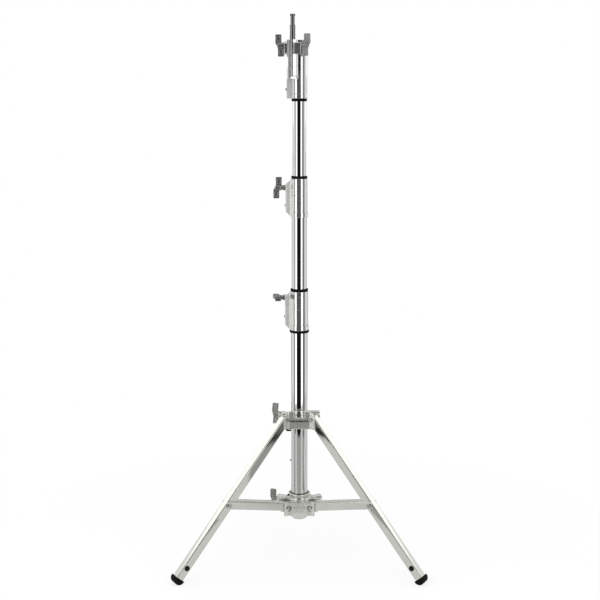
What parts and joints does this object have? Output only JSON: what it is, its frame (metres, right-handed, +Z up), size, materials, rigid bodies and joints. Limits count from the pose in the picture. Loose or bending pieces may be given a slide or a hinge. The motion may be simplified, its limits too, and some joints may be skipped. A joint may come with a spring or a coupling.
{
  "type": "combo stand",
  "caption": "Folding combo stand for film lights and grip gear: braced tripod legs, a telescoping chromed column with clamping collars, and a head with a receiver socket and a sliding stud.",
  "frame": {"origin": "on the floor, in the middle of the box around the standing stand's outline", "axes": "+Z up along the column, -Y towards the open side between the two front legs, +X to the right as seen from there"},
  "size_m": [0.7468, 0.6468, 1.6223],
  "materials": {
    "chrome": "bright chrome plating on drawn steel tube",
    "satin_chrome": "satin chrome plating on steel",
    "cast_alloy": "tumbled bright die casting",
    "grey_cast": "grey plated casting",
    "zinc_steel": "zinc plated steel fasteners",
    "black_rubber": "moulded rubber",
    "black_plastic": "moulded nylon"
  },
  "bodies": {
    "base": {"base_column_tube": "chrome", "column_end_plug": "satin_chrome", "column_stop_stud": "zinc_steel", "lower_casting": "cast_alloy", "lower_bush": "zinc_steel", "lower_set_screw": "black_plastic", "brace_1_casting_bolt": "zinc_steel", "brace_2_casting_bolt": "zinc_steel", "brace_3_casting_bolt": "zinc_steel", "collar_1_foot_ring": "black_rubber", "collar_1_body": "chrome", "collar_1_pad": "black_plastic", "collar_1_top_ring": "black_rubber", "collar_1_lug_screw": "zinc_steel"},
    "brace_1": {"brace_1": "satin_chrome"},
    "brace_2": {"brace_2": "satin_chrome"},
    "brace_3": {"brace_3": "satin_chrome"},
    "leg_1": {"leg_1_tube": "satin_chrome", "leg_1_foot": "black_rubber", "leg_1_foot_pin": "black_plastic", "leg_1_brace_bolt": "zinc_steel"},
    "leg_2": {"leg_2_tube": "satin_chrome", "leg_2_foot": "black_rubber", "leg_2_foot_pin": "black_plastic", "leg_2_brace_bolt": "zinc_steel"},
    "leg_3": {"leg_3_tube": "satin_chrome", "leg_3_foot": "black_rubber", "leg_3_foot_pin": "black_plastic", "leg_3_brace_bolt": "zinc_steel"},
    "upper_slider": {"upper_casting": "cast_alloy", "upper_bumper": "black_rubber", "leg_1_pivot_screw_left": "zinc_steel", "leg_1_pivot_screw_right": "zinc_steel", "leg_2_pivot_screw_left": "zinc_steel", "leg_2_pivot_screw_right": "zinc_steel", "leg_3_pivot_screw_left": "zinc_steel", "leg_3_pivot_screw_right": "zinc_steel"},
    "riser_1": {"riser_1_tube": "chrome", "riser_1_bush": "black_plastic", "collar_2_body": "chrome", "collar_2_pad": "black_plastic", "collar_2_top_ring": "black_rubber", "collar_2_lug_screw": "zinc_steel"},
    "riser_2": {"riser_2_tube": "chrome", "riser_2_bush": "black_plastic", "head_casting": "chrome", "head_heel_screw": "black_plastic", "head_ring": "black_rubber"},
    "stud": {"sliding_stud": "chrome"},
    "lower_screw": {"lower_handle": "grey_cast"},
    "upper_screw": {"upper_handle": "grey_cast"},
    "collar_1_screw": {"collar_1_handle": "grey_cast"},
    "collar_2_screw": {"collar_2_handle": "grey_cast"},
    "receiver_screw": {"receiver_handle": "grey_cast"},
    "stud_screw": {"stud_handle": "grey_cast"}
  },
  "joints": [
    {"name": "leg_fold", "type": "hinge", "parent": "base", "child": "brace_1", "pos_m": [-0.04244, -0.12334, 0.1699], "axis": [-0.5, 0.866, 0], "range_deg": [0, 75.43]},
    {"name": "brace_2_hinge", "type": "hinge", "parent": "base", "child": "brace_2", "pos_m": [0.04244, -0.12334, 0.1699], "axis": [-0.5, -0.866, 0], "range_deg": [0, 75.5]},
    {"name": "brace_3_hinge", "type": "hinge", "parent": "base", "child": "brace_3", "pos_m": [0, -0.04984, 0.1699], "axis": [1, 0, 0], "range_deg": [0, 75.5]},
    {"name": "leg_1_hinge", "type": "hinge", "parent": "brace_1", "child": "leg_1", "pos_m": [-0.21131, -0.22084, 0.20959], "axis": [-0.5, 0.866, 0], "range_deg": [-113.4, 0]},
    {"name": "leg_2_hinge", "type": "hinge", "parent": "brace_2", "child": "leg_2", "pos_m": [0.21131, -0.22084, 0.20959], "axis": [-0.5, -0.866, 0], "range_deg": [-113.4, 0]},
    {"name": "leg_3_hinge", "type": "hinge", "parent": "brace_3", "child": "leg_3", "pos_m": [0, 0.14516, 0.20959], "axis": [1, 0, 0], "range_deg": [-113.4, 0]},
    {"name": "upper_slide", "type": "slide", "parent": "base", "child": "upper_slider", "axis": [0, 0, 1], "range_m": [0, 0.2297]},
    {"name": "riser_1_slide", "type": "slide", "parent": "base", "child": "riser_1", "axis": [0, 0, 1], "range_m": [-0.21, 0.2]},
    {"name": "riser_2_slide", "type": "slide", "parent": "riser_1", "child": "riser_2", "axis": [0, 0, 1], "range_m": [-0.2125, 0.2]},
    {"name": "stud_slide", "type": "slide", "parent": "riser_2", "child": "stud", "axis": [0, 0, 1], "range_m": [-0.0645, 0.008]},
    {"name": "lower_screw_turn", "type": "hinge", "parent": "base", "child": "lower_screw", "pos_m": [-0.06608, -0.06069, 0.1699], "axis": [-0.866, 0.5, 0], "range_deg": [-180, 180]},
    {"name": "upper_screw_turn", "type": "hinge", "parent": "upper_slider", "child": "upper_screw", "pos_m": [-0.05222, -0.06869, 0.44281], "axis": [-0.866, 0.5, 0], "range_deg": [-180, 180]},
    {"name": "collar_1_screw_turn", "type": "hinge", "parent": "base", "child": "collar_1_screw", "pos_m": [-0.0431, -0.09884, 0.8068], "axis": [-1, 0, 0], "range_deg": [-180, 180]},
    {"name": "collar_2_screw_turn", "type": "hinge", "parent": "riser_1", "child": "collar_2_screw", "pos_m": [-0.0406, -0.09884, 1.1308], "axis": [-1, 0, 0], "range_deg": [-180, 180]},
    {"name": "receiver_screw_turn", "type": "hinge", "parent": "riser_2", "child": "receiver_screw", "pos_m": [-0.0433, -0.09884, 1.5358], "axis": [-1, 0, 0], "range_deg": [-180, 180]},
    {"name": "stud_screw_turn", "type": "hinge", "parent": "riser_2", "child": "stud_screw", "pos_m": [0.00849, -0.13496, 1.5358], "axis": [0.848, -0.5299, 0], "range_deg": [-180, 180]}
  ],
  "couplings": [
    {"joint": "brace_2_hinge", "follows": "leg_fold", "ratio": 1},
    {"joint": "brace_3_hinge", "follows": "leg_fold", "ratio": 1},
    {"joint": "leg_1_hinge", "follows": "leg_fold", "ratio": -1.5024},
    {"joint": "leg_2_hinge", "follows": "leg_fold", "ratio": -1.5024},
    {"joint": "leg_3_hinge", "follows": "leg_fold", "ratio": -1.5024},
    {"joint": "upper_slide", "follows": "leg_fold", "m_per_rad": 0.1744}
  ]
}
